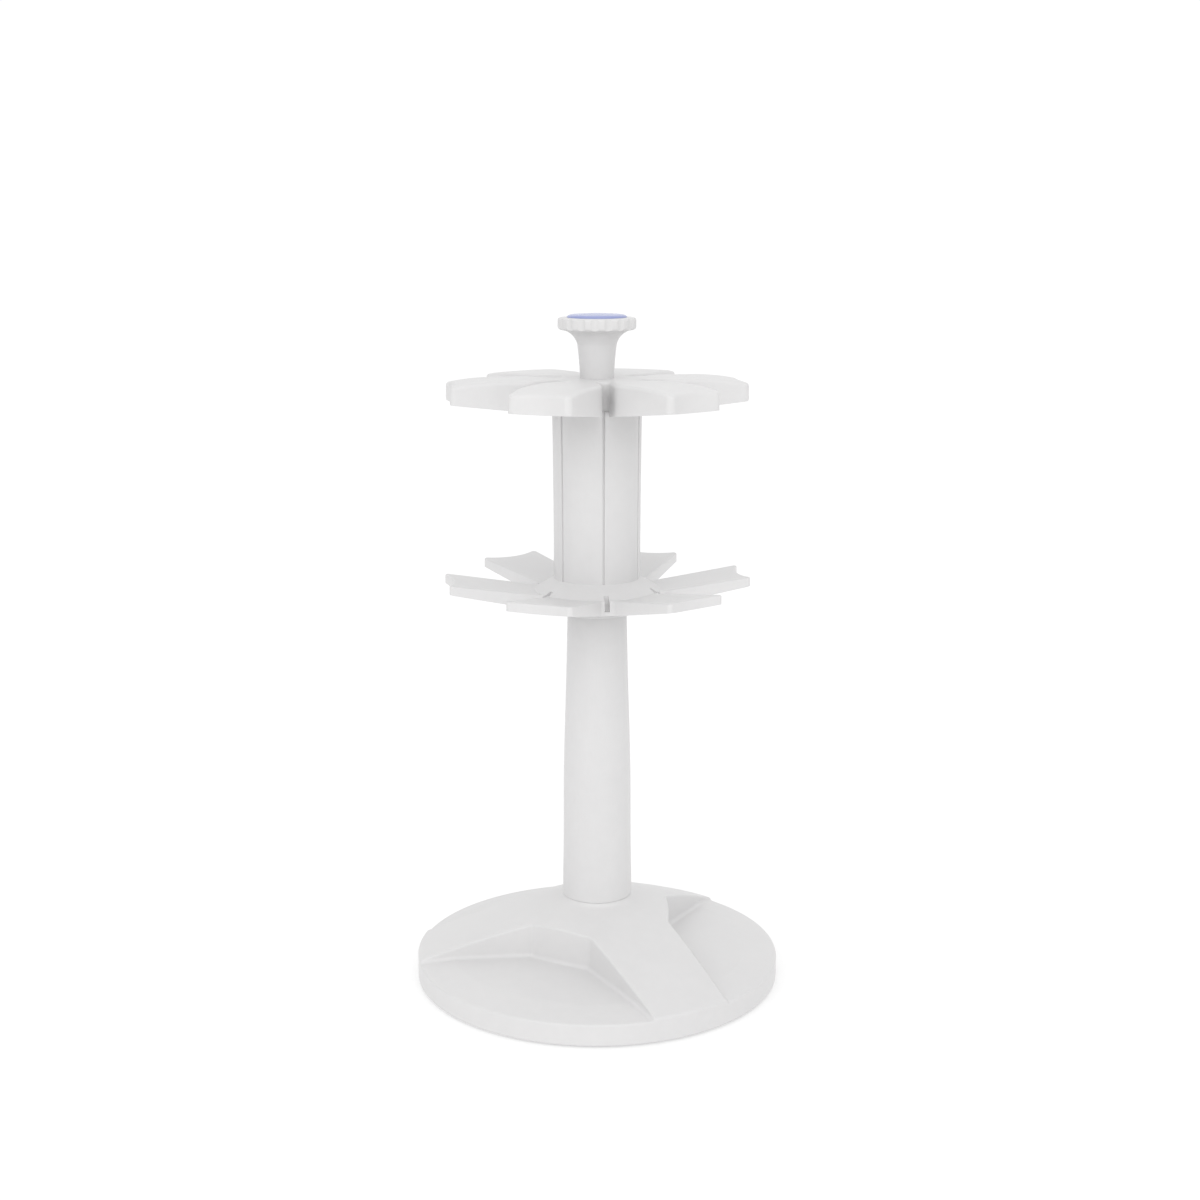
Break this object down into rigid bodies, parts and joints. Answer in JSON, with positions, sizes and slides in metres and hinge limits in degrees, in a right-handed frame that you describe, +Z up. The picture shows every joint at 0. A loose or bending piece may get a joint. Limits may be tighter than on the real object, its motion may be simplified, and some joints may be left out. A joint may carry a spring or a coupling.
{
  "type": "pipette carousel stand",
  "caption": "Round weighted base with shallow pockets, a fixed column and a turning carousel with a slotted petal disc, a star-shaped guide ring and a capped knob for hanging pipettes.",
  "frame": {"origin": "centre of the base on the plane the feet rest on", "axes": "+Z up along the column; -Y through the middle of the front base pocket; +X to its right"},
  "size_m": [0.178, 0.178, 0.3252],
  "materials": {
    "housing": "satin moulded off-white plastic",
    "cap": "blue moulded plastic",
    "plate": "light grey moulded plastic",
    "ballast": "zinc plated steel plate",
    "steel": "plain steel hardware",
    "alloy": "turned aluminium",
    "bearing": "natural bearing plastic",
    "rubber": "soft dark rubber"
  },
  "bodies": {
    "stand": {"base_shell": "housing", "base_plate": "plate", "ballast_plate": "ballast", "rubber_feet": "rubber", "base_screws": "steel", "lower_column": "housing", "column_head": "alloy", "tie_rod": "steel", "tie_rod_washer": "steel", "tie_rod_nut": "steel", "spindle": "steel", "thrust_washer": "bearing", "spindle_clip": "steel"},
    "carousel": {"carousel_column": "housing", "star_ring": "housing", "top_disc": "housing", "knob": "housing", "knob_cap": "cap", "star_retaining_ring": "steel", "core_tube": "alloy", "knob_stud": "alloy", "lower_bushing": "bearing", "upper_bushing": "bearing"}
  },
  "joints": [
    {"name": "carousel_spin", "type": "hinge", "parent": "stand", "child": "carousel", "pos_m": [0, 0, 0.23], "axis": [0, 0, 1], "continuous": true}
  ]
}
